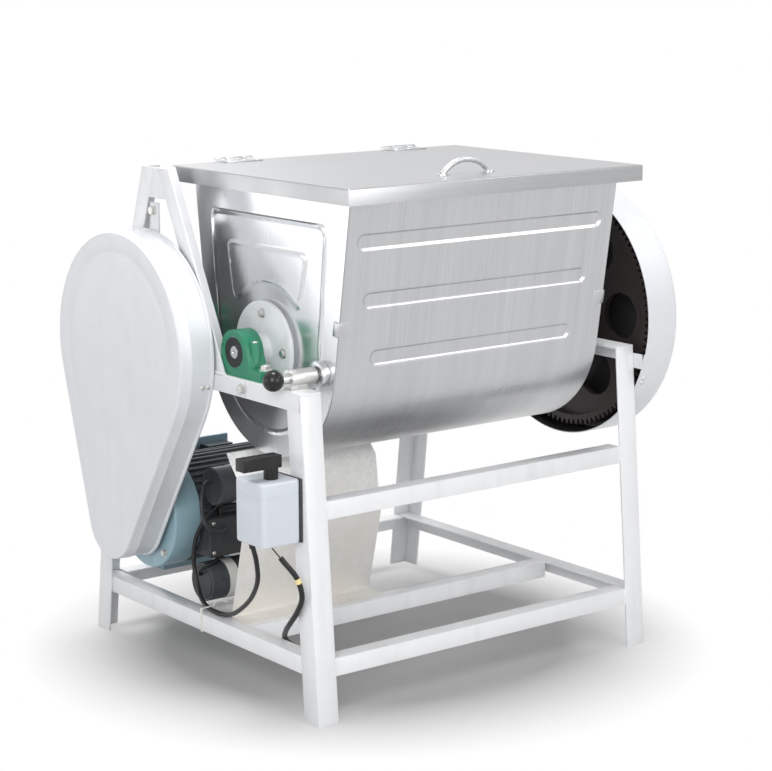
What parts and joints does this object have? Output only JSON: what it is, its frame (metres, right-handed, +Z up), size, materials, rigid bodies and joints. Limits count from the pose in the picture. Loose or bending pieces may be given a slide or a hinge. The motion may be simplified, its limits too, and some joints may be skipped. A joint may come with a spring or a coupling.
{
  "type": "dough kneader",
  "caption": "Floor-standing dough kneader: lidded stainless trough that tilts on an angle-iron frame, driven by motor, V-belts, countershaft and open gears.",
  "frame": {"origin": "middle of the footprint on the floor, midway between the extremes of the machine without its mains lead, in X and in Y", "axes": "+X along the shafts from the belt side to the gear side, +Y to the rear where the lid hinges and the motor are, +Z up"},
  "size_m": [0.894, 0.719, 0.8948],
  "materials": {
    "frame_paint": "light grey paint, satin",
    "cover_paint": "pale grey paint, semi-gloss",
    "stainless": "brushed stainless sheet",
    "polished_stainless": "polished stainless sheet",
    "machined_steel": "machined bright steel",
    "zinc_steel": "zinc-plated steel",
    "galvanised": "galvanised sheet",
    "block_paint": "green paint on a casting",
    "cast_iron": "dark cast iron",
    "gear_paint": "red-brown primer on cast iron",
    "motor_paint": "dark blue-grey paint",
    "bell_paint": "teal paint",
    "copper": "copper winding and laminations",
    "white_enamel": "white paint",
    "black_rubber": "black rubber",
    "black_plastic": "black plastic",
    "grey_plastic": "light grey plastic",
    "cap_plastic": "off-white plastic",
    "white_nylon": "white nylon"
  },
  "bodies": {
    "frame": {"front_legs": "frame_paint", "rear_legs": "frame_paint", "top_rails": "frame_paint", "base_side_rails": "frame_paint", "base_cross_rails": "frame_paint", "front_cross_rail": "frame_paint", "stand_front_leg": "frame_paint", "stand_rear_leg": "frame_paint", "stand_gusset": "frame_paint", "belt_cover": "cover_paint", "belt_cover_straps": "cover_paint", "gear_cover": "cover_paint", "gear_cover_straps": "cover_paint", "stirring_blocks": "block_paint", "countershaft_blocks": "block_paint", "ball_bearings": "machined_steel", "block_bolts": "zinc_steel", "motor_body": "motor_paint", "motor_front_bell": "bell_paint", "motor_rear_bell": "bell_paint", "fan_cover": "motor_paint", "stator": "copper", "terminal_box": "motor_paint", "capacitors": "cap_plastic", "motor_plate": "galvanised", "motor_bolts": "zinc_steel", "v_belts": "black_rubber", "lock_sleeve": "zinc_steel", "switch_box": "grey_plastic", "guard_sheet": "galvanised", "motor_leads": "black_rubber", "cable_tie": "white_nylon", "mains_lead": "black_rubber", "mains_coil": "black_rubber", "mains_plug": "black_rubber"},
    "trough": {"trough_wrap": "stainless", "trough_end_left": "polished_stainless", "trough_end_right": "polished_stainless", "trunnions": "white_enamel", "shaft_seals": "black_rubber", "flange_bolts": "zinc_steel", "corner_clips": "stainless", "lock_boss": "machined_steel", "hinge_brackets": "stainless", "hinge_pins": "machined_steel"},
    "lid": {"lid": "stainless", "lid_handle": "stainless", "lid_hinge_leaves": "stainless"},
    "stirrer": {"stirring_shaft": "machined_steel", "big_gear": "gear_paint", "paddles": "stainless"},
    "counter_drive": {"countershaft": "machined_steel", "pinion": "machined_steel", "big_pulley": "cast_iron"},
    "motor_rotor": {"rotor": "machined_steel", "cooling_fan": "black_plastic", "small_pulley": "cast_iron"},
    "lock": {"lock_pin": "machined_steel", "lock_knob": "black_plastic"},
    "switch": {"switch_lever": "black_plastic"}
  },
  "joints": [
    {"name": "trough_tilt", "type": "hinge", "parent": "frame", "child": "trough", "pos_m": [0.012, -0.0995, 0.58], "axis": [1, 0, 0], "range_deg": [0, 85]},
    {"name": "lid_hinge", "type": "hinge", "parent": "trough", "child": "lid", "pos_m": [0.012, 0.152, 0.8678], "axis": [-1, 0, 0], "range_deg": [0, 100]},
    {"name": "stir_spin", "type": "hinge", "parent": "frame", "child": "stirrer", "pos_m": [0.012, -0.0995, 0.58], "axis": [1, 0, 0], "continuous": true},
    {"name": "countershaft_spin", "type": "hinge", "parent": "frame", "child": "counter_drive", "pos_m": [0.012, 0.1445, 0.58], "axis": [1, 0, 0], "continuous": true},
    {"name": "motor_spin", "type": "hinge", "parent": "frame", "child": "motor_rotor", "pos_m": [-0.2, 0.1875, 0.25], "axis": [1, 0, 0], "continuous": true},
    {"name": "lock_slide", "type": "slide", "parent": "frame", "child": "lock", "axis": [1, 0, 0], "range_m": [0, 0.01]},
    {"name": "switch_turn", "type": "hinge", "parent": "frame", "child": "switch", "pos_m": [-0.388, -0.2645, 0.41], "axis": [0, 0, 1], "range_deg": [-60, 60]}
  ],
  "couplings": [
    {"joint": "countershaft_spin", "follows": "stir_spin", "ratio": -6.625},
    {"joint": "motor_spin", "follows": "stir_spin", "ratio": -32.886}
  ]
}
